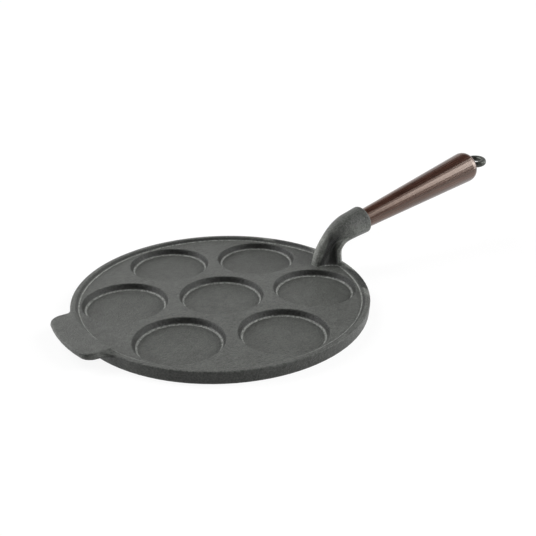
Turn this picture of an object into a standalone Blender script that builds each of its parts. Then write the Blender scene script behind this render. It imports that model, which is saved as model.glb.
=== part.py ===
"""Seven-well cast iron pancake pan with a turned wooden handle.

The pan stands on the plane z = 0 with the centre of its underside at the origin.
The handle rises along +X, the helper grip is at -X, and y = 0 is the plane that
both are symmetric about. All lengths are in metres.
"""
import math

import bmesh
import bpy
from mathutils import Matrix, Vector

MM = 0.001

# Plate
PAN_RADIUS = 115.0 * MM
PLATE_TOP = 7.8 * MM
RIM_HEIGHT = 10.3 * MM
RIM_WIDTH = 3.4 * MM
RIM_SLOPE = 3.2 * MM
RIM_ROUND = 1.0 * MM
RIM_FOOT_FILLET = 1.5 * MM
BASE_ROUND = 1.8 * MM
WALL_DRAFT = 0.6 * MM
PLATE_STEPS = 96
PLATE_ARC_STEPS = 3

# Wells: one in the middle and a ring of others, turned a little from the handle's axis.
# They take the room that the land between them and the margin at the rim leave.
WELL_COUNT = 6
WELL_LAND = 8.8 * MM
WELL_MARGIN = 1.6 * MM
WELL_DRAFT = 2.2 * MM
WELL_FLOOR = 2.9 * MM
WELL_EDGE_ROUND = 1.5 * MM
WELL_FILLET = 2.4 * MM
WELL_RING_TURN = math.radians(4.0)
WELL_STEPS = 48

# Helper grip, whose roots sweep into the wall while its top falls to the rim
GRIP_HALF_WIDTH = 34.2 * MM
GRIP_SIDE_SLANT = 1.6 * MM
GRIP_LENGTH = 15.7 * MM
GRIP_BOW = 7.3 * MM
GRIP_CORNER_RADIUS = 10.0 * MM
GRIP_ROOT_RADIUS = 11.0 * MM
GRIP_ARC_STEPS = 6
GRIP_TOP = 13.1 * MM
GRIP_END_THICKNESS = 4.6 * MM
GRIP_ROOT_THICKNESS = 4.6 * MM
GRIP_LOWER_ROUND = 1.8 * MM
GRIP_FILLET = 1.5 * MM
GRIP_FALL_POWER = 1.6
GRIP_INNER_SLANT = 0.25

# Socket: its mouth stands out beyond the wall, and the handle's axis climbs from there
HANDLE_SLOPE = math.radians(10.7)
SOCKET_REACH = 30.8 * MM
SOCKET_HEIGHT = 37.0 * MM
SOCKET_RADIUS = 11.5 * MM
SOCKET_BELL_RADIUS = 12.1 * MM
SOCKET_RISE = 0.8 * MM
SOCKET_LIP_ROUND = 2.2 * MM
SOCKET_LIP_STEPS = 5
SOCKET_DEPTH = 14.0 * MM

# Neck: its nose and heel are measured inwards from the wall, and each of its two lines
# leaves the plate with a lean and a lead, and meets the socket after a run
NECK_SINK = 2.3 * MM
NECK_NOSE = 23.8 * MM
NECK_NOSE_LEAN = math.radians(3.2)
NECK_NOSE_LEAD = 20.4 * MM
NECK_TOP_RUN = 19.9 * MM
NECK_HEEL = 0.5 * MM
NECK_HEEL_LEAN = math.radians(12.0)
NECK_HEEL_LEAD = 20.0 * MM
NECK_THROAT_RUN = 13.5 * MM
NECK_STEPS = 18
NECK_SIDE_STEPS = 14

# Sections of the neck: spine radius, web half-thickness, and the keel's half-width,
# corner length and flare length
FOOT_SECTION = (5.4 * MM, 5.0 * MM, 15.2 * MM, 5.0 * MM, 24.0 * MM)
WAIST_SECTION = (5.4 * MM, 2.7 * MM, 8.3 * MM, 5.5 * MM, 8.0 * MM)
THROAT_SECTION = (8.0 * MM, 6.0 * MM, 7.4 * MM, 4.0 * MM, 8.0 * MM)
WAIST_PLACE = 0.36
FOOT_FALL_POWER = 1.6

# Wooden handle, measured from the mouth along its axis
WOOD_MOUTH_RADIUS = 8.3 * MM
WOOD_SEAT_RADIUS = 7.8 * MM
WOOD_SEAT_CHAMFER = 0.8 * MM
WOOD_WIDEST_RADIUS = 14.1 * MM
WOOD_WIDEST_AT = 127.0 * MM
WOOD_LENGTH = 134.6 * MM
WOOD_END_RADIUS = 6.4 * MM
WOOD_END_FULLNESS = 2.45
WOOD_END_STEPS = 9
WOOD_TAPER_STEPS = 5
WOOD_STEPS = 40

# Eye bolt, whose flat oval eye is a little wider across the handle than along it
ROD_RADIUS = 2.3 * MM
ROD_GRIP_LENGTH = 10.0 * MM
ROD_STEPS = 20
EYE_HALF_LENGTH = 9.35 * MM
EYE_HALF_WIDTH = 10.7 * MM
EYE_BAR = 5.4 * MM
EYE_THICKNESS = 5.0 * MM
EYE_BAR_ROUND = 2.0 * MM
EYE_STEPS = 32
EYE_ARC_STEPS = 3

# Gap left between pieces that seat in or on each other
CLEARANCE = 0.3 * MM

RIM_FOOT = PAN_RADIUS - RIM_WIDTH - RIM_SLOPE
MOUTH = Vector((PAN_RADIUS + SOCKET_REACH, 0.0, SOCKET_HEIGHT))


def clear_scene():
    for item in list(bpy.data.objects):
        bpy.data.objects.remove(item, do_unlink=True)


def new_collection(name):
    collection = bpy.data.collections.new(name)
    bpy.context.scene.collection.children.link(collection)
    return collection


def new_material(name, colour, roughness, metallic, coat=0.0):
    material = bpy.data.materials.new(name)
    material.use_nodes = True
    shader = material.node_tree.nodes["Principled BSDF"]
    shader.inputs["Base Color"].default_value = (*colour, 1.0)
    shader.inputs["Roughness"].default_value = roughness
    shader.inputs["Metallic"].default_value = metallic
    shader.inputs["Coat Weight"].default_value = coat
    return material


def add_object(name, mesh, collection):
    item = bpy.data.objects.new(name, mesh)
    collection.objects.link(item)
    return item


def add_cutter(name, mesh, collection):
    """An object that only cuts or joins another one, kept out of the render."""
    item = add_object(name, mesh, collection)
    item.hide_render = True
    item.display_type = "WIRE"
    return item


def rounded(corners, steps):
    """Points along an open outline whose corners, as (x, y, radius), are turned into arcs."""
    points = []
    for index, (x, y, radius) in enumerate(corners):
        corner = Vector((x, y))
        if radius == 0.0:
            points.append(corner)
            continue
        before = Vector(corners[index - 1][:2]) - corner
        after = Vector(corners[index + 1][:2]) - corner
        before.normalize()
        after.normalize()
        opening = before.angle(after)
        turn = math.pi - opening
        centre = corner + (before + after).normalized() * radius / math.sin(opening / 2.0)
        start = corner + before * radius / math.tan(opening / 2.0)
        side = 1.0 if before.cross(after) < 0.0 else -1.0
        for step in range(steps + 1):
            swing = Matrix.Rotation(side * turn * step / steps, 2)
            points.append(centre + swing @ (start - centre))
    return points


def turned_mesh(name, profile, steps, closed=False):
    """Mesh turned about Z from (radius, height) points that run down the outer side.

    An open profile gets a flat face over each end, and a closed one makes a ring.
    """
    mesh = bpy.data.meshes.new(name)
    edges = [(index, index + 1) for index in range(len(profile) - 1)]
    if closed:
        edges.append((len(profile) - 1, 0))
    mesh.from_pydata([(radius, 0.0, height) for radius, height in profile], edges, [])
    blank = bpy.data.objects.new(name, mesh)
    bpy.context.scene.collection.objects.link(blank)
    screw = blank.modifiers.new("Turn", "SCREW")
    screw.axis = "Z"
    screw.angle = math.tau
    screw.steps = steps
    screw.render_steps = steps
    screw.use_merge_vertices = True
    screw.merge_threshold = 0.00001
    evaluated = blank.evaluated_get(bpy.context.evaluated_depsgraph_get())
    solid = bpy.data.meshes.new_from_object(evaluated)
    bpy.data.objects.remove(blank)
    bpy.data.meshes.remove(mesh)
    solid.name = name
    if not closed:
        fill_open_ends(solid)
    return solid


def fill_open_ends(mesh):
    shape = bmesh.new()
    shape.from_mesh(mesh)
    rims = [edge for edge in shape.edges if edge.is_boundary]
    bmesh.ops.holes_fill(shape, edges=rims, sides=0)
    bmesh.ops.recalc_face_normals(shape, faces=shape.faces)
    shape.to_mesh(mesh)
    shape.free()


def lofted_mesh(name, rings):
    """Mesh through closed rings of equal point count, with a flat face over each end."""
    shape = bmesh.new()
    loops = [[shape.verts.new(point) for point in ring] for ring in rings]
    for lower, upper in zip(loops, loops[1:]):
        for index in range(len(lower)):
            follow = (index + 1) % len(lower)
            shape.faces.new((lower[index], lower[follow], upper[follow], upper[index]))
    shape.faces.new(loops[0])
    shape.faces.new(loops[-1])
    bmesh.ops.recalc_face_normals(shape, faces=shape.faces)
    mesh = bpy.data.meshes.new(name)
    shape.to_mesh(mesh)
    shape.free()
    return mesh


def bezier(start, lead, trail, end, t):
    """Point at t along the cubic curve with these ends and control points."""
    s = 1.0 - t
    return start * s ** 3 + lead * (3.0 * s * s * t) + trail * (3.0 * s * t * t) + end * t ** 3


def ease(t):
    """Smooth step from 0 to 1, held at its ends."""
    t = min(1.0, max(0.0, t))
    return t * t * (3.0 - 2.0 * t)


def mix(first, second, share):
    return [a + (b - a) * share for a, b in zip(first, second)]


def combine(item, other, operation):
    modifier = item.modifiers.new(other.name, "BOOLEAN")
    modifier.operation = operation
    modifier.solver = "EXACT"
    modifier.object = other


def wall_radius(height):
    """Radius of the drafted outer wall at a height."""
    return PAN_RADIUS - WALL_DRAFT * (1.0 - height / RIM_HEIGHT)


def grip_edge():
    """Plan points round the grip, from one tangent with the wall to the other.

    Each comes with how far the top has risen there from the rim to the grip's top.
    """
    bow = math.atan2(GRIP_BOW, GRIP_HALF_WIDTH)
    corner_turn = math.pi / 2.0 - bow
    wall = math.sqrt(PAN_RADIUS ** 2 - GRIP_HALF_WIDTH ** 2)
    tangent = GRIP_CORNER_RADIUS * math.tan(corner_turn / 2.0)
    end_radius = (GRIP_HALF_WIDTH / math.cos(bow) - tangent) / math.tan(bow)
    tip = PAN_RADIUS + GRIP_LENGTH + end_radius * (1.0 / math.cos(bow) - 1.0)
    side_end = tip - GRIP_BOW - tangent
    room = (side_end ** 2 - wall ** 2) / (2.0 * (PAN_RADIUS - GRIP_HALF_WIDTH))
    root_radius = min(GRIP_ROOT_RADIUS, 0.97 * room)
    spread = GRIP_HALF_WIDTH + root_radius
    centre = Vector((-math.sqrt((PAN_RADIUS + root_radius) ** 2 - spread ** 2), -spread))
    start = Vector((0.0, root_radius))
    turn = math.pi / 2.0 - math.atan2(spread, -centre.x)
    root = []
    for step in range(GRIP_ARC_STEPS, 0, -1):
        part = step / GRIP_ARC_STEPS
        point = centre + Matrix.Rotation(-turn * part, 2) @ start
        root.append((point, (1.0 - part) ** GRIP_FALL_POWER))
    half = [
        (centre.x, -GRIP_HALF_WIDTH, 0.0),
        (GRIP_BOW - tip, -GRIP_HALF_WIDTH, GRIP_CORNER_RADIUS),
    ]
    mirrored = [(x, -y, radius) for x, y, radius in reversed(half)]
    body = rounded(half + [(-tip, 0.0, end_radius)] + mirrored, GRIP_ARC_STEPS)
    body = [p for p, q in zip(body, body[1:] + [root[0][0]]) if (p - q).length > CLEARANCE]
    far_root = [(Vector((point.x, -point.y)), risen) for point, risen in reversed(root)]
    return root + [(point, 1.0) for point in body] + far_root


def polar(radius, angle, height):
    return Vector((radius * math.cos(angle), radius * math.sin(angle), height))


def rim_section(angle, top):
    """Points in one radial plane from the cooking face up to the rim's flat crest."""
    crest_inner = PAN_RADIUS - RIM_WIDTH + GRIP_INNER_SLANT * (top - RIM_HEIGHT)
    inner = rounded([
        (RIM_FOOT - RIM_SLOPE, PLATE_TOP, 0.0),
        (RIM_FOOT, PLATE_TOP, RIM_FOOT_FILLET),
        (crest_inner, top, RIM_ROUND),
        (PAN_RADIUS, top, 0.0),
    ], 2)
    return [polar(p.x, angle, p.y) for p in inner[:-1]]


def edge_section(point, normal, top):
    """Rounded upper edge of the rim or the grip at a plan point of the outside."""
    result = []
    for step in range(PLATE_ARC_STEPS + 1):
        turn = math.pi / 2.0 * step / PLATE_ARC_STEPS
        place = point + normal * RIM_ROUND * (1.0 - math.sin(turn))
        height = top - RIM_ROUND * (1.0 - math.cos(turn))
        result.append(Vector((place.x, place.y, height)))
    return result


def grip_section(point, normal, angle, top):
    """Lower edge and underside of the grip from a plan point back to the wall.

    The lower edge is rounded no more than the side leaves room for below the upper edge.
    """
    wall_x = -math.sqrt(PAN_RADIUS ** 2 - GRIP_HALF_WIDTH ** 2)
    slope = (GRIP_ROOT_THICKNESS - GRIP_END_THICKNESS) / (PAN_RADIUS + GRIP_LENGTH + wall_x)

    def underside(x):
        return GRIP_TOP - GRIP_ROOT_THICKNESS + slope * (wall_x - x)

    overhang = point.length - wall_radius(underside(point.x))
    spread = min(1.0, max(0.0, overhang / (2.0 * GRIP_LOWER_ROUND + 2.0 * GRIP_FILLET)))
    lower_round = min(GRIP_LOWER_ROUND, 0.6 * (top - RIM_ROUND - underside(point.x)))
    result = []
    for step in range(3):
        turn = math.pi / 4.0 * step
        place = point + normal * lower_round * (1.0 - math.cos(turn)) * spread
        height = underside(place.x) + lower_round * (1.0 - math.sin(turn))
        if spread == 0.0:
            place = place.normalized() * wall_radius(height)
        result.append(Vector((place.x, place.y, height)))
    root = underside(PAN_RADIUS * math.cos(angle))
    for step in range(3):
        turn = math.pi / 4.0 * step
        height = root - GRIP_FILLET * (1.0 - math.cos(turn))
        reach = GRIP_FILLET * (1.0 - math.sin(turn)) * spread
        result.append(polar(wall_radius(height) + reach, angle, height))
    return result


def base_section(angle):
    """Rounded foot of the wall and the first of the flat underside."""
    radius = PAN_RADIUS - WALL_DRAFT
    outer = rounded([
        (PAN_RADIUS, RIM_HEIGHT, 0.0),
        (radius, 0.0, BASE_ROUND),
        (radius - 2.0 * BASE_ROUND, 0.0, 0.0),
    ], PLATE_ARC_STEPS)
    return [polar(p.x, angle, p.y) for p in outer[1:]]


def plate_mesh():
    """Plate with its rim and grip, lofted round through radial sections."""
    edge = grip_edge()
    columns = []
    for index, (point, risen) in enumerate(edge):
        tangent = edge[min(index + 1, len(edge) - 1)][0] - edge[max(index - 1, 0)][0]
        normal = Vector((tangent.y, -tangent.x)).normalized()
        if index in (0, len(edge) - 1):
            normal = -point.normalized()
        angle = math.atan2(point.y, point.x)
        top = RIM_HEIGHT + (GRIP_TOP - RIM_HEIGHT) * risen
        crest = Vector((point.x, point.y * (1.0 - risen * GRIP_SIDE_SLANT / GRIP_HALF_WIDTH)))
        upper = rim_section(angle, top) + edge_section(crest, normal, top)
        columns.append((upper, grip_section(point, normal, angle, top), base_section(angle)))
    first = math.atan2(edge[-1][0].y, edge[-1][0].x)
    span = 2.0 * first
    count = round(PLATE_STEPS * span / math.tau)
    for step in range(1, count):
        angle = first - span * step / count
        point = polar(PAN_RADIUS, angle, 0.0).to_2d()
        upper = rim_section(angle, RIM_HEIGHT) + edge_section(point, -point.normalized(), RIM_HEIGHT)
        columns.append((upper, [], base_section(angle)))

    shape = bmesh.new()
    loops = [[[shape.verts.new(p) for p in part] for part in column] for column in columns]
    for (upper, middle, lower), (upper2, middle2, lower2) in zip(loops, loops[1:] + loops[:1]):
        strips = [(upper, upper2), (lower, lower2)]
        if middle and middle2:
            strips = [(upper + middle + lower, upper2 + middle2 + lower2)]
        else:
            wall = [upper[-1]] + middle + [lower[0], lower2[0]] + middle2[::-1] + [upper2[-1]]
            shape.faces.new(wall)
        for here, there in strips:
            for index in range(len(here) - 1):
                shape.faces.new((here[index], here[index + 1], there[index + 1], there[index]))
    mesh = bpy.data.meshes.new("plate")
    shape.to_mesh(mesh)
    shape.free()
    fill_open_ends(mesh)
    return mesh


def well_layout():
    """Radius of a well, and the radius of the circle on which the ring's centres lie."""
    ratio = max(1.0, 0.5 / math.sin(math.pi / WELL_COUNT))
    radius = (RIM_FOOT - WELL_MARGIN - ratio * WELL_LAND) / (2.0 * ratio + 1.0)
    return radius, ratio * (2.0 * radius + WELL_LAND)


def well_mesh():
    """Cutter for one well: flat floor, fillet, drafted wall and a rounded upper edge."""
    radius = well_layout()[0]
    profile = rounded([
        (radius + 4.0 * WELL_EDGE_ROUND, PLATE_TOP, 0.0),
        (radius, PLATE_TOP, WELL_EDGE_ROUND),
        (radius - WELL_DRAFT, WELL_FLOOR, WELL_FILLET),
        (radius - WELL_DRAFT - 2.0 * WELL_FILLET, WELL_FLOOR, 0.0),
    ], PLATE_ARC_STEPS)
    edge, inside = profile[1], profile[2]
    lead = edge + (edge - inside) * 0.5
    above = Vector((lead.x, RIM_HEIGHT + GRIP_TOP))
    return turned_mesh("well", [above, lead] + profile[2:], WELL_STEPS)


def well_centres():
    ring_radius = well_layout()[1]
    centres = [Vector((0.0, 0.0, 0.0))]
    for index in range(WELL_COUNT):
        angle = WELL_RING_TURN + (index + 0.5) * math.tau / WELL_COUNT
        centres.append(polar(ring_radius, angle, 0.0))
    return centres


def neck_ring(front, back, section, power, roundness):
    """One section of the neck, from its spine in front to its keel at the back.

    The half-width blends a round spine, a thin web, and a keel that is rounded over its
    corner and flared over its reach. A roundness of 1 makes the section a circle.
    """
    spine, waist, keel, corner, reach = section
    across = back - front
    length = across.length
    across.normalize()
    halves = []
    for step in range(NECK_SIDE_STEPS + 1):
        x = length / 2.0 * (1.0 - math.cos(math.pi * step / NECK_SIDE_STEPS))
        lobe = math.sqrt(max(0.0, x * (2.0 * spine - x)))
        web = waist * math.sqrt(max(0.0, 1.0 - abs(2.0 * x / length - 1.0) ** 6))
        left = length - x
        if left < corner:
            wing = keel * max(0.0, 1.0 - (1.0 - left / corner) ** 3) ** (1.0 / 3.0)
        else:
            wing = keel * max(0.0, 1.0 - (left - corner) / reach) ** power
        if x < spine:
            wing *= math.sqrt(1.0 - (1.0 - x / spine) ** 2)
        drawn = (lobe ** 4 + web ** 4 + wing ** 4) ** 0.25
        circle = math.sqrt(max(0.0, x * (length - x)))
        width = drawn + (circle - drawn) * roundness
        halves.append((x, width if 0 < step < NECK_SIDE_STEPS else 0.0))
    side = Vector((0.0, 1.0, 0.0))
    near = [front + across * x - side * width for x, width in halves]
    far = [front + across * x + side * width for x, width in halves[-2:0:-1]]
    return near + far


def socket_edge(distance, radius, rise):
    """Upper and lower points of the socket's round outside at a distance from its mouth."""
    along = Vector((math.cos(HANDLE_SLOPE), 0.0, math.sin(HANDLE_SLOPE)))
    upward = Vector((-math.sin(HANDLE_SLOPE), 0.0, math.cos(HANDLE_SLOPE)))
    centre = MOUTH + along * distance + upward * rise
    return centre + upward * radius, centre - upward * radius


def neck_mesh():
    """Neck and socket: sections lofted between a front line and a back line."""
    along = Vector((math.cos(HANDLE_SLOPE), 0.0, math.sin(HANDLE_SLOPE)))
    top, throat = socket_edge(-SOCKET_DEPTH, SOCKET_RADIUS, SOCKET_RISE)
    nose = Vector((PAN_RADIUS - NECK_NOSE, 0.0, PLATE_TOP - NECK_SINK))
    heel = Vector((PAN_RADIUS - NECK_HEEL, 0.0, PLATE_TOP - NECK_SINK))
    nose_lean = Vector((math.sin(NECK_NOSE_LEAN), 0.0, math.cos(NECK_NOSE_LEAN)))
    heel_lean = Vector((math.sin(NECK_HEEL_LEAN), 0.0, math.cos(NECK_HEEL_LEAN)))
    front_line = (nose, nose + nose_lean * NECK_NOSE_LEAD, top - along * NECK_TOP_RUN, top)
    back_line = (heel, heel + heel_lean * NECK_HEEL_LEAD, throat - along * NECK_THROAT_RUN, throat)
    rings = []
    for step in range(NECK_STEPS + 1):
        t = step / NECK_STEPS
        foot_share = max(0.0, 1.0 - t / WAIST_PLACE) ** FOOT_FALL_POWER
        throat_share = ease((t - WAIST_PLACE) / (1.0 - WAIST_PLACE))
        section = mix(mix(WAIST_SECTION, FOOT_SECTION, foot_share), THROAT_SECTION, throat_share)
        power = 2.0 - foot_share
        front = bezier(*front_line, t)
        back = bezier(*back_line, t)
        rings.append(neck_ring(front, back, section, power, throat_share ** 1.3))
    for step in range(SOCKET_LIP_STEPS + 1):
        part = step / SOCKET_LIP_STEPS
        angle = part * math.pi / 2.0
        distance = -SOCKET_LIP_ROUND * (1.0 - math.sin(angle))
        radius = SOCKET_BELL_RADIUS - SOCKET_LIP_ROUND * (1.0 - math.cos(angle))
        front, back = socket_edge(distance, radius, SOCKET_RISE * (1.0 - part))
        rings.append(neck_ring(front, back, THROAT_SECTION, 2.0, 1.0))
    return lofted_mesh("neck", rings)


def wood_mesh():
    """Wood turned as a straight taper with a full round end and a seat in the socket."""
    bore = ROD_RADIUS + CLEARANCE
    fall = WOOD_WIDEST_RADIUS - WOOD_END_RADIUS
    run = WOOD_LENGTH - WOOD_WIDEST_AT
    power = 2.0 / WOOD_END_FULLNESS
    outer = []
    for step in range(WOOD_END_STEPS + 1):
        angle = math.pi / 2.0 * step / WOOD_END_STEPS
        radius = WOOD_END_RADIUS + fall * math.sin(angle) ** power
        distance = WOOD_WIDEST_AT + run * math.cos(angle) ** power
        outer.append((radius, distance))
    for step in range(WOOD_TAPER_STEPS - 1, -1, -1):
        part = step / WOOD_TAPER_STEPS
        radius = WOOD_MOUTH_RADIUS + (WOOD_WIDEST_RADIUS - WOOD_MOUTH_RADIUS) * part
        outer.append((radius, WOOD_WIDEST_AT * part))
    seat = [
        (WOOD_SEAT_RADIUS, -SOCKET_DEPTH + WOOD_SEAT_CHAMFER),
        (WOOD_SEAT_RADIUS - WOOD_SEAT_CHAMFER, -SOCKET_DEPTH),
    ]
    profile = [(bore, WOOD_LENGTH)] + outer + seat + [(bore, -SOCKET_DEPTH)]
    return turned_mesh("wood", profile, WOOD_STEPS, closed=True)


def socket_bore_mesh():
    """Cutter for the seat of the wood and for the rod's hole beyond it."""
    taper = (WOOD_MOUTH_RADIUS - WOOD_SEAT_RADIUS) / SOCKET_DEPTH
    lead = 4.0 * MM
    rod_hole = ROD_RADIUS + CLEARANCE
    profile = [
        (WOOD_MOUTH_RADIUS + CLEARANCE + taper * lead, lead),
        (WOOD_SEAT_RADIUS + CLEARANCE, -SOCKET_DEPTH - CLEARANCE),
        (rod_hole, -SOCKET_DEPTH - CLEARANCE),
        (rod_hole, -SOCKET_DEPTH - ROD_GRIP_LENGTH - CLEARANCE),
    ]
    return turned_mesh("socket_bore", profile, WOOD_STEPS)


def eye_mesh():
    """Oval eye of rounded bar that lies flat across the handle, against the wood's end."""
    inner = EYE_HALF_WIDTH - EYE_BAR
    middle = EYE_HALF_WIDTH - EYE_BAR / 2.0
    half = EYE_THICKNESS / 2.0
    profile = rounded([
        (middle, half, 0.0),
        (EYE_HALF_WIDTH, half, EYE_BAR_ROUND),
        (EYE_HALF_WIDTH, -half, EYE_BAR_ROUND),
        (inner, -half, EYE_BAR_ROUND),
        (inner, half, EYE_BAR_ROUND),
        (middle, half, 0.0),
    ], EYE_ARC_STEPS)
    mesh = turned_mesh("eye", profile[:-1], EYE_STEPS, closed=True)
    shorten = Matrix.Scale(EYE_HALF_LENGTH / EYE_HALF_WIDTH, 4, (1.0, 0.0, 0.0))
    lay = Matrix.Rotation(math.pi / 2.0, 4, "Y")
    centre = Matrix.Translation((0.0, 0.0, WOOD_LENGTH + CLEARANCE + EYE_HALF_LENGTH))
    mesh.transform(centre @ lay @ shorten)
    return mesh


def rod_mesh():
    """Tie rod from the middle of the eye's near side to its hold in the socket's floor."""
    profile = [
        (ROD_RADIUS, WOOD_LENGTH + CLEARANCE + EYE_BAR / 2.0),
        (ROD_RADIUS, -SOCKET_DEPTH - ROD_GRIP_LENGTH),
    ]
    return turned_mesh("rod", profile, ROD_STEPS)


def bake(item):
    """Replace the object's modifiers with the mesh that they give."""
    evaluated = item.evaluated_get(bpy.context.evaluated_depsgraph_get())
    solid = bpy.data.meshes.new_from_object(evaluated)
    item.modifiers.clear()
    item.data = solid


def finish(item, material, crease):
    mesh = item.data
    mesh.materials.clear()
    mesh.materials.append(material)
    mesh.shade_smooth()
    mesh.set_sharp_from_angle(angle=crease)


def build():
    clear_scene()
    parts = new_collection("blini_pan")
    cutters = new_collection("cutters")
    iron = new_material("cast_iron", (0.075, 0.08, 0.075), 0.55, 0.7)
    walnut = new_material("walnut", (0.17, 0.06, 0.035), 0.3, 0.0, coat=0.6)
    dark_iron = new_material("blackened_iron", (0.03, 0.034, 0.03), 0.4, 0.85)

    handle = bpy.data.objects.new("handle_axis", None)
    handle.location = MOUTH
    handle.rotation_euler = (0.0, math.pi / 2.0 - HANDLE_SLOPE, 0.0)
    parts.objects.link(handle)

    casting = add_object("pan_casting", plate_mesh(), parts)
    combine(casting, add_cutter("neck", neck_mesh(), cutters), "UNION")
    well = well_mesh()
    for index, centre in enumerate(well_centres()):
        cutter = add_cutter(f"well_{index}", well, cutters)
        cutter.location = centre
        combine(casting, cutter, "DIFFERENCE")
    bore = add_cutter("socket_bore", socket_bore_mesh(), cutters)
    bore.parent = handle
    combine(casting, bore, "DIFFERENCE")

    wood = add_object("wood_handle", wood_mesh(), parts)
    wood.parent = handle

    bolt = add_object("eye_bolt", rod_mesh(), parts)
    bolt.parent = handle
    eye = add_cutter("eye", eye_mesh(), cutters)
    eye.parent = handle
    combine(bolt, eye, "UNION")

    bpy.context.view_layer.update()
    for item in (casting, bolt):
        bake(item)
    finish(casting, iron, math.radians(40.0))
    finish(wood, walnut, math.radians(40.0))
    finish(bolt, dark_iron, math.radians(40.0))


build()
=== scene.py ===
"""Looks of the seven-well cast iron pancake pan: materials, light, floor and camera."""
import math

import bpy
from mathutils import Euler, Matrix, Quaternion, Vector

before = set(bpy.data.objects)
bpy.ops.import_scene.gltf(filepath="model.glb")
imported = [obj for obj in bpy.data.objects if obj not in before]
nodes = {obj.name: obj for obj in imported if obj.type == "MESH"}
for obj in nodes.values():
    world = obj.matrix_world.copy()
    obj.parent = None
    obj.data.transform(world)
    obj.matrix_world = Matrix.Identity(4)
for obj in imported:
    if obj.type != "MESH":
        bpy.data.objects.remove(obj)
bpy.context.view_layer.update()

MM = 0.001

# The casting's painted shade and painted highlights follow its forms. Heights are above the
# underside, reaches are from the pan's middle, and sides are along the handle. Of four values, a
# mask starts at the first, is full from the second to the third and ends at the fourth. Of two,
# it starts at the first and is full at the second.
WELL_FOOT_HEIGHT = (2.91 * MM, 3.0 * MM, 3.3 * MM, 3.9 * MM)
WELL_WALL_HEIGHT = (3.4 * MM, 4.2 * MM, 7.4 * MM, 7.78 * MM)
WELL_REACH = (108.5 * MM, 107.5 * MM)
RIM_FOOT_HEIGHT = (7.82 * MM, 7.9 * MM, 8.1 * MM, 8.6 * MM)
RIM_FOOT_REACH = (111.4 * MM, 110.6 * MM)
RIM_WALL_HEIGHT = (8.2 * MM, 8.7 * MM, 9.6 * MM, 10.1 * MM)
RIM_WALL_REACH = (107.5 * MM, 108.5 * MM, 111.2 * MM, 111.8 * MM)
RIM_WALL_SIDE = (104.0 * MM, 98.0 * MM)
OUTER_WALL_HEIGHT = (10.0 * MM, 9.0 * MM)
OUTER_WALL_REACH = (111.0 * MM, 112.8 * MM)
OUTER_WALL_SIDE = (107.0 * MM, 101.0 * MM)

# The neck stands past a side, and its flanks are below the socket. Masks on the flanks follow
# the distance behind the flank's middle line, which leans with the neck. That line is given by
# the direction across it, in x and z, and by its distance from the origin.
NECK_SIDE = (86.0 * MM, 88.0 * MM)
NECK_HEIGHT = (10.5 * MM, 12.5 * MM, 38.0 * MM, 48.0 * MM)
FLANK_HEIGHT = (8.3 * MM, 9.5 * MM, 34.0 * MM, 41.0 * MM)
FLANK_ACROSS = (0.93, -0.368)
FLANK_MIDDLE = 91.7 * MM
SPINE_BEHIND = (-17.0 * MM, -12.5 * MM, -8.5 * MM, -5.5 * MM)
KEEL_BEHIND = (4.5 * MM, 6.5 * MM)

# The painted shade of the hollow lies a little ahead of that line. Its half-width goes from the
# first to the second value over its height, and it fades past its edge and at its top.
HOLLOW_AHEAD = 1.2 * MM
HOLLOW_HEIGHT = (10.0 * MM, 34.0 * MM)
HOLLOW_HALF_WIDTH = (5.8 * MM, 3.0 * MM)
HOLLOW_EDGE = (1.8 * MM, 0.0)
HOLLOW_TOP = (36.0 * MM, 30.0 * MM)

# How dark the painted shade on the walls is, how much the painted light lightens the neck, and
# how much more the painted highlight on its spine and keel lightens it
WELL_WALL_SHADE = 0.85
RIM_WALL_SHADE = 0.7
OUTER_WALL_SHADE = 0.25
NECK_PAINTED_LIGHT_GAIN = 1.25
PAINTED_HIGHLIGHT_GAIN = 1.95

# Colours of the casting, of its painted highlight and of its painted shade, each at a value of
# the noise that it follows, and the levels by which its finer noises darken and lighten them
IRON_GREY = ((0.3, (0.074, 0.077, 0.071)), (0.7, (0.089, 0.093, 0.086)))
IRON_PAINTED_HIGHLIGHT = ((0.38, (0.10, 0.105, 0.097)), (0.62, (0.33, 0.34, 0.32)))
IRON_PAINTED_SHADE = ((0.3, (0.012, 0.0125, 0.0115)), (0.7, (0.024, 0.025, 0.023)))
IRON_GRAIN = ((0.32, 0.62), (0.68, 1.38))
IRON_SPECKS = ((0.3, 0.82), (0.72, 1.18))
IRON_BLOTCHES = ((0.3, 0.86), (0.7, 1.14))

# The handle's axis: the point at the socket's mouth, and its climb
MOUTH = Vector((145.8 * MM, 0.0, 37.0 * MM))
HANDLE_SLOPE = math.radians(10.7)

# Colours of the wood, and of a thin dark line painted along the handle. The line starts, is
# full, fades and ends at turns round the axis, in radians, which are 0 in the middle of the -Y
# side and grow downwards. The line wavers with the figure of the wood.
WOOD_BROWN = (
    (0.28, (0.034, 0.0125, 0.0085)),
    (0.48, (0.066, 0.028, 0.019)),
    (0.70, (0.110, 0.052, 0.036)),
)
WOOD_STREAKS = ((0.32, (0.72, 0.70, 0.68)), (0.68, (1.18, 1.18, 1.18)))
WOOD_PORES = ((0.30, (0.55, 0.52, 0.50)), (0.42, (1.0, 1.0, 1.0)))
WOOD_SHEEN = (1.0, 0.80, 0.68, 1.0)
LINE_TURN = (-0.20, -0.12, -0.09, -0.03)
LINE_WAVER = 0.02
LINE_SHADE = 0.8
LINE_COLOUR = (0.020, 0.009, 0.006, 1.0)

BOLT_GREY = ((0.3, (0.050, 0.053, 0.047)), (0.7, (0.105, 0.110, 0.098)))

# Roughness of each material, which follows its noise over the middle of the noise's range
NOISE_RANGE = (0.3, 0.7)
IRON_ROUGHNESS = (0.30, 0.44)
WOOD_ROUGHNESS = (0.22, 0.30)
BOLT_ROUGHNESS = (0.30, 0.48)

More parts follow.
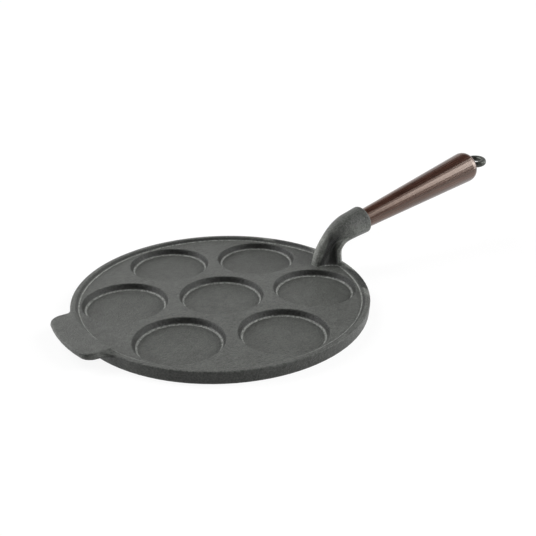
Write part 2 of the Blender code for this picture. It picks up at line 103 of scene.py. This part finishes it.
# Camera, fitted to the photograph
CAMERA_PLACE = Vector((-0.27448, -0.44420, 0.27116))
CAMERA_HEADING = math.radians(54.313)
CAMERA_DIP = math.radians(24.811)
CAMERA_ROLL = math.radians(0.209)
CAMERA_LENS = 50.235
CAMERA_NEAR = 0.01
SENSOR = 36.0

# Light of the room. In reflections the room is white below its ceiling and behind the pan. The
# ceiling goes by how far up a direction points, and the wall by how far away from the camera.
WHITE = (1.0, 1.0, 1.0, 1.0)
ROOM_LIGHT = 0.04
CEILING_FROM = 0.45
CEILING_FULL = 0.72
WALL_FROM = -0.25
WALL_FULL = 0.45
WALL_LEAST = 0.12

# Where the floor is seen, it glows and has a dark grey besides, so that it is white but in the
# shadow. As light on the pan it is a plain grey.
FLOOR_SIZE = 30.0
FLOOR_GLOW = 0.90
FLOOR_GREY = 0.12
FLOOR_GREY_AS_LIGHT = 0.35

# Sockets of the mix node for colours, which share their names with its other kinds
MIX_FIRST = 6
MIX_SECOND = 7
MIX_RESULT = 2


def grey(level):
    return (level, level, level, 1.0)


class Tree:
    """Node tree, with short calls for the nodes that it is built from."""

    def __init__(self, tree):
        self.tree = tree
        self.tree.nodes.clear()

    def add(self, kind, **settings):
        node = self.tree.nodes.new(kind)
        for key, value in settings.items():
            setattr(node, key, value)
        return node

    def feed(self, target, value):
        """Give a socket its input, which is another node's output or a plain value."""
        if isinstance(value, bpy.types.NodeSocket):
            self.tree.links.new(value, target)
        else:
            target.default_value = value

    def put(self, node, **values):
        """Feed the node's sockets by their names, and give the node back."""
        for name, value in values.items():
            self.feed(node.inputs[name.replace("_", " ")], value)
        return node

    def put_in_order(self, node, values):
        """Feed the node's sockets from the first on, and give the node back."""
        for socket, value in zip(node.inputs, values):
            self.feed(socket, value)
        return node

    def calculate(self, operation, *values):
        node = self.add("ShaderNodeMath", operation=operation)
        return self.put_in_order(node, values).outputs["Value"]

    def product(self, first, *others):
        for other in others:
            first = self.calculate("MULTIPLY", first, other)
        return first

    def largest(self, first, *others):
        for other in others:
            first = self.calculate("MAXIMUM", first, other)
        return first

    def dot(self, vector, direction):
        node = self.add("ShaderNodeVectorMath", operation="DOT_PRODUCT")
        return self.put_in_order(node, (vector, direction)).outputs["Value"]

    def parts(self, vector):
        node = self.put(self.add("ShaderNodeSeparateXYZ"), Vector=vector)
        return node.outputs["X"], node.outputs["Y"], node.outputs["Z"]

    def span(self, value, start, end, at_start, at_end, kind="LINEAR"):
        """Result that changes between two values of the input, and is level beyond them."""
        node = self.add("ShaderNodeMapRange", interpolation_type=kind)
        self.put(node, Value=value, From_Min=start, From_Max=end, To_Min=at_start, To_Max=at_end)
        return node.outputs["Result"]

    def rise(self, value, start, full):
        return self.span(value, start, full, 0.0, 1.0)

    def band(self, value, start, full, fading, end):
        """1 from full to fading, and 0 before start and after end."""
        return self.product(self.rise(value, start, full), self.rise(value, end, fading))

    def shader_mix(self, factor, first, second):
        node = self.add("ShaderNodeMixShader")
        return self.put_in_order(node, (factor, first, second)).outputs["Shader"]

    def output(self, kind, shader):
        self.put(self.add(kind), Surface=shader)


class Finish(Tree):
    """Material of the part, on one Principled shader."""

    def __init__(self, name):
        self.material = bpy.data.materials.new(name)
        self.material.use_nodes = True
        super().__init__(self.material.node_tree)
        self.shader = self.add("ShaderNodeBsdfPrincipled")
        self.output("ShaderNodeOutputMaterial", self.shader.outputs["BSDF"])

    def place(self):
        return self.add("ShaderNodeTexCoord").outputs["Object"]

    def along_handle(self):
        """Place measured from the socket's mouth, with z along the handle."""
        turned = Euler((0.0, math.pi / 2.0 - HANDLE_SLOPE, 0.0))
        node = self.add("ShaderNodeMapping", vector_type="TEXTURE")
        self.put(node, Vector=self.place(), Location=MOUTH, Rotation=turned, Scale=(1.0, 1.0, 1.0))
        return node.outputs["Vector"]

    def drawn_out(self, vector, share):
        """The place with its z shortened to a share, which draws a pattern out along z."""
        node = self.add("ShaderNodeMapping", vector_type="POINT")
        return self.put(node, Vector=vector, Scale=(1.0, 1.0, share)).outputs["Vector"]

    def noise(self, vector, scale, detail=2.0, roughness=0.5, distortion=0.0):
        """Noise with about as many lumps a metre as its scale."""
        node = self.add("ShaderNodeTexNoise")
        self.put(node, Vector=vector, Scale=scale, Detail=detail)
        return self.put(node, Roughness=roughness, Distortion=distortion).outputs["Fac"]

    def ramp(self, factor, stops):
        """Colour that follows a factor through stops, each a place and a colour."""
        node = self.put(self.add("ShaderNodeValToRGB"), Fac=factor)
        elements = node.color_ramp.elements
        while len(elements) < len(stops):
            elements.new(0.5)
        for element, (position, colour) in zip(elements, stops):
            element.position = position
            element.color = (*colour, 1.0)
        return node.outputs["Color"]

    def levels(self, factor, stops):
        """Grey that follows a factor through stops, each a place and a level."""
        return self.ramp(factor, [(position, (level,) * 3) for position, level in stops])

    def mix(self, factor, first, second, blend="MIX"):
        node = self.add("ShaderNodeMix", data_type="RGBA", blend_type=blend)
        self.put(node, Factor=factor)
        self.feed(node.inputs[MIX_FIRST], first)
        self.feed(node.inputs[MIX_SECOND], second)
        return node.outputs[MIX_RESULT]

    def tinted(self, colour, *tints):
        """Colour multiplied by each tint."""
        for tint in tints:
            colour = self.mix(1.0, colour, tint, "MULTIPLY")
        return colour

    def bump(self, height, distance, strength, **base):
        """Bump of a height, on another bump if base gives its Normal."""
        node = self.add("ShaderNodeBump")
        self.put(node, Height=height, Distance=distance, Strength=strength, **base)
        return node.outputs["Normal"]

    def set(self, **values):
        self.put(self.shader, **values)


def well_masks(iron, height, reach):
    """Masks of the painted highlight at the wells' wall feet and the painted shade on their walls.
    """
    inside = iron.rise(reach, *WELL_REACH)
    foot = iron.product(iron.band(height, *WELL_FOOT_HEIGHT), inside)
    wall = iron.product(iron.band(height, *WELL_WALL_HEIGHT), inside)
    return foot, wall


def rim_masks(iron, side, height, reach):
    """Masks of the painted highlight at the rim's foot and painted shade on its inner and outer
    walls.
    """
    foot = iron.product(iron.band(height, *RIM_FOOT_HEIGHT), iron.rise(reach, *RIM_FOOT_REACH))
    inner = iron.product(iron.band(height, *RIM_WALL_HEIGHT), iron.band(reach, *RIM_WALL_REACH))
    inner = iron.product(inner, iron.rise(side, *RIM_WALL_SIDE))
    outer = iron.product(iron.rise(reach, *OUTER_WALL_REACH), iron.rise(height, *OUTER_WALL_HEIGHT))
    outer = iron.product(outer, iron.rise(iron.calculate("ABSOLUTE", side), *OUTER_WALL_SIDE))
    return foot, inner, outer


def neck_masks(iron, side, height):
    """Masks of the neck's painted light, its flanks' painted shade, and painted highlight on spine
    and keel.
    """
    past_rim = iron.rise(side, *NECK_SIDE)
    neck = iron.product(iron.band(height, *NECK_HEIGHT), past_rim)
    flank = iron.product(iron.band(height, *FLANK_HEIGHT), past_rim)
    across, up = FLANK_ACROSS
    behind = iron.calculate("MULTIPLY_ADD", height, up, -FLANK_MIDDLE)
    behind = iron.calculate("MULTIPLY_ADD", side, across, behind)
    half_width = iron.span(height, *HOLLOW_HEIGHT, *HOLLOW_HALF_WIDTH)
    off_middle = iron.calculate("ABSOLUTE", iron.calculate("ADD", behind, HOLLOW_AHEAD))
    past_edge = iron.calculate("SUBTRACT", off_middle, half_width)
    hollow = iron.product(iron.rise(past_edge, *HOLLOW_EDGE), flank, iron.rise(height, *HOLLOW_TOP))
    spine = iron.product(iron.band(behind, *SPINE_BEHIND), flank)
    keel = iron.product(iron.rise(behind, *KEEL_BEHIND), flank)
    return neck, hollow, iron.largest(spine, keel)


def cast_iron():
    """Bare grey iron as it comes from a sand mould: fine grain, soft blotches, dull sheen.

    The walls and the neck's hollow flanks get painted shade, the foot of each wall a painted
    highlight, and the neck painted light, most of all as a painted highlight on its spine and keel.
    """
    iron = Finish("cast_iron_surface")
    place = iron.place()
    side, depth, height = iron.parts(place)
    depth_squared = iron.product(depth, depth)
    reach = iron.calculate("SQRT", iron.calculate("MULTIPLY_ADD", side, side, depth_squared))
    well_foot, well_wall = well_masks(iron, height, reach)
    rim_foot, rim_wall, outer_wall = rim_masks(iron, side, height, reach)
    neck, hollow, painted_highlight = neck_masks(iron, side, height)
    patches = iron.noise(place, scale=55.0, detail=3.0, roughness=0.55)
    blotches = iron.noise(place, scale=260.0)
    grain = iron.noise(place, scale=700.0, detail=4.0, roughness=0.65)
    specks = iron.noise(place, scale=1700.0, roughness=0.6)
    colour = iron.tinted(
        iron.ramp(patches, IRON_GREY),
        iron.levels(grain, IRON_GRAIN),
        iron.levels(specks, IRON_SPECKS),
        iron.levels(blotches, IRON_BLOTCHES),
    )
    # Painted light: the neck lightened, and a painted highlight along its spine and keel
    colour = iron.mix(neck, colour, iron.tinted(colour, grey(NECK_PAINTED_LIGHT_GAIN)))
    colour = iron.mix(painted_highlight, colour, iron.tinted(colour, grey(PAINTED_HIGHLIGHT_GAIN)))
    # Painted shade on the walls of the wells and rim, the outer wall and the neck's hollow flanks
    shade = iron.largest(
        iron.product(well_wall, WELL_WALL_SHADE),
        iron.product(rim_wall, RIM_WALL_SHADE),
        hollow,
        iron.product(outer_wall, OUTER_WALL_SHADE),
    )
    colour = iron.mix(shade, colour, iron.ramp(grain, IRON_PAINTED_SHADE))
    # Painted highlight along the hollow line at the foot of the wells' and the rim's walls
    colour = iron.mix(iron.largest(well_foot, rim_foot), colour, iron.ramp(grain, IRON_PAINTED_HIGHLIGHT))
    coarse = iron.bump(grain, distance=0.85 * MM, strength=0.8)
    iron.set(Base_Color=colour, Roughness=iron.span(grain, *NOISE_RANGE, *IRON_ROUGHNESS))
    iron.set(Normal=iron.bump(specks, distance=0.12 * MM, strength=0.6, Normal=coarse))
    iron.set(Metallic=0.0, Specular_IOR_Level=0.25)
    return iron.material


def walnut():
    """Turned walnut under clear lacquer, with the grain along the handle and one thin dark line."""
    wood = Finish("walnut_lacquered")
    place = wood.along_handle()
    figure_place = wood.drawn_out(place, share=0.10)
    fibre_place = wood.drawn_out(place, share=0.035)
    pore_place = wood.drawn_out(place, share=0.06)
    figure = wood.noise(figure_place, scale=70.0, detail=3.0, distortion=0.6)
    fibre = wood.noise(fibre_place, scale=620.0, detail=3.0, roughness=0.6)
    pores = wood.noise(pore_place, scale=1500.0)
    colour = wood.tinted(
        wood.ramp(figure, WOOD_BROWN),
        wood.ramp(fibre, WOOD_STREAKS),
        wood.ramp(pores, WOOD_PORES),
    )
    # A thin dark line painted at fixed turns round the handle's axis
    down, depth, _ = wood.parts(place)
    turn = wood.calculate("ARCTAN2", down, wood.product(depth, -1.0))
    waver = wood.span(figure, *NOISE_RANGE, -LINE_WAVER, LINE_WAVER)
    turn = wood.calculate("ADD", turn, waver)
    line = wood.product(wood.band(turn, *LINE_TURN), LINE_SHADE)
    wood.set(Base_Color=wood.mix(line, colour, LINE_COLOUR))
    wood.set(Roughness=wood.span(fibre, *NOISE_RANGE, *WOOD_ROUGHNESS))
    wood.set(Normal=wood.bump(fibre, distance=0.10 * MM, strength=0.25))
    wood.set(Specular_IOR_Level=0.9, Specular_Tint=WOOD_SHEEN)
    wood.set(Coat_Weight=0.12, Coat_Roughness=0.1)
    return wood.material


def black_iron():
    """Forged iron of the bolt, dark and a little greasy, with a brushed-off sheen."""
    bolt = Finish("black_iron_bolt")
    place = bolt.place()
    patches = bolt.noise(place, scale=260.0, detail=3.0, roughness=0.55)
    grain = bolt.noise(place, scale=1600.0)
    bolt.set(Base_Color=bolt.ramp(patches, BOLT_GREY), Metallic=0.75)
    bolt.set(Roughness=bolt.span(grain, *NOISE_RANGE, *BOLT_ROUGHNESS))
    bolt.set(Normal=bolt.bump(grain, distance=0.10 * MM, strength=0.4))
    return bolt.material


def dress(node, material):
    for slot in node.material_slots:
        slot.material = material


def white_room():
    """Room that is white to the camera and dim as light.

    Reflections show it white low down and behind the pan, and dim above and elsewhere.
    """
    world = bpy.data.worlds.new("studio")
    world.use_nodes = True
    bpy.context.scene.world = world
    tree = Tree(world.node_tree)
    direction = tree.add("ShaderNodeTexCoord").outputs["Generated"]
    _, _, up = tree.parts(direction)
    away = tree.dot(direction, (math.cos(CAMERA_HEADING), math.sin(CAMERA_HEADING), 0.0))
    ceiling = tree.span(up, CEILING_FROM, CEILING_FULL, 1.0, 0.0, "SMOOTHSTEP")
    wall = tree.span(away, WALL_FROM, WALL_FULL, WALL_LEAST, 1.0, "SMOOTHSTEP")
    ray = tree.add("ShaderNodeLightPath").outputs
    mirrored = tree.largest(ray["Is Glossy Ray"], ray["Is Transmission Ray"])
    mirrored = tree.product(mirrored, ceiling, wall)
    shown = tree.largest(mirrored, ray["Is Camera Ray"])
    dim = tree.put(tree.add("ShaderNodeBackground"), Color=WHITE, Strength=ROOM_LIGHT)
    white = tree.put(tree.add("ShaderNodeBackground"), Color=WHITE, Strength=1.0)
    room = tree.shader_mix(shown, dim.outputs["Background"], white.outputs["Background"])
    tree.output("ShaderNodeOutputWorld", room)


def floor():
    """Pale floor that shows white and keeps a faint shadow."""
    bpy.ops.mesh.primitive_plane_add(size=FLOOR_SIZE, location=(0.0, 0.0, 0.0))
    plane = bpy.context.object
    plane.name = "floor"
    material = bpy.data.materials.new("floor")
    material.use_nodes = True
    tree = Tree(material.node_tree)
    lit = tree.put(tree.add("ShaderNodeBsdfDiffuse"), Color=grey(FLOOR_GREY_AS_LIGHT))
    dark = tree.put(tree.add("ShaderNodeBsdfDiffuse"), Color=grey(FLOOR_GREY))
    glow = tree.put(tree.add("ShaderNodeEmission"), Strength=FLOOR_GLOW)
    pale = tree.add("ShaderNodeAddShader")
    tree.put_in_order(pale, (glow.outputs["Emission"], dark.outputs["BSDF"]))
    ray = tree.add("ShaderNodeLightPath").outputs
    seen = tree.largest(ray["Is Camera Ray"], ray["Is Glossy Ray"], ray["Is Transmission Ray"])
    surface = tree.shader_mix(seen, lit.outputs["BSDF"], pale.outputs["Shader"])
    tree.output("ShaderNodeOutputMaterial", surface)
    plane.data.materials.append(material)


def lamp(name, around, height, strength, width):
    """Soft lamp far away, as wide as its last angle.

    Its direction is the angle anticlockwise from straight behind the pan, as the camera sees
    it, and the angle above the floor. All angles are in degrees.
    """
    heading = CAMERA_HEADING + math.radians(around)
    rise = math.radians(height)
    towards = Vector((
        math.cos(heading) * math.cos(rise),
        math.sin(heading) * math.cos(rise),
        math.sin(rise),
    ))
    data = bpy.data.lights.new(name, "SUN")
    data.energy = strength
    data.angle = math.radians(width)
    item = bpy.data.objects.new(name, data)
    item.rotation_mode = "QUATERNION"
    item.rotation_quaternion = towards.to_track_quat("Z", "Y")
    bpy.context.scene.collection.objects.link(item)


def camera():
    data = bpy.data.cameras.new("camera")
    data.sensor_width = SENSOR
    data.lens = CAMERA_LENS
    data.clip_start = CAMERA_NEAR
    item = bpy.data.objects.new("camera", data)
    ahead = Vector((
        math.cos(CAMERA_HEADING) * math.cos(CAMERA_DIP),
        math.sin(CAMERA_HEADING) * math.cos(CAMERA_DIP),
        -math.sin(CAMERA_DIP),
    ))
    item.location = CAMERA_PLACE
    item.rotation_mode = "QUATERNION"
    item.rotation_quaternion = Quaternion(ahead, CAMERA_ROLL) @ ahead.to_track_quat("-Z", "Y")
    bpy.context.scene.collection.objects.link(item)
    bpy.context.scene.camera = item


dress(nodes["pan_casting"], cast_iron())
dress(nodes["wood_handle"], walnut())
dress(nodes["eye_bolt"], black_iron())

white_room()
floor()
lamp("left_low", around=88.0, height=14.0, strength=2.0, width=36.0)
lamp("right_low", around=274.0, height=12.0, strength=1.5, width=36.0)
lamp("right_high", around=270.0, height=34.0, strength=1.7, width=36.0)
lamp("back_left", around=58.0, height=42.0, strength=1.7, width=40.0)
lamp("wood_strip", around=242.0, height=43.0, strength=0.45, width=44.0)
camera()
bpy.context.scene.view_settings.view_transform = "Standard"
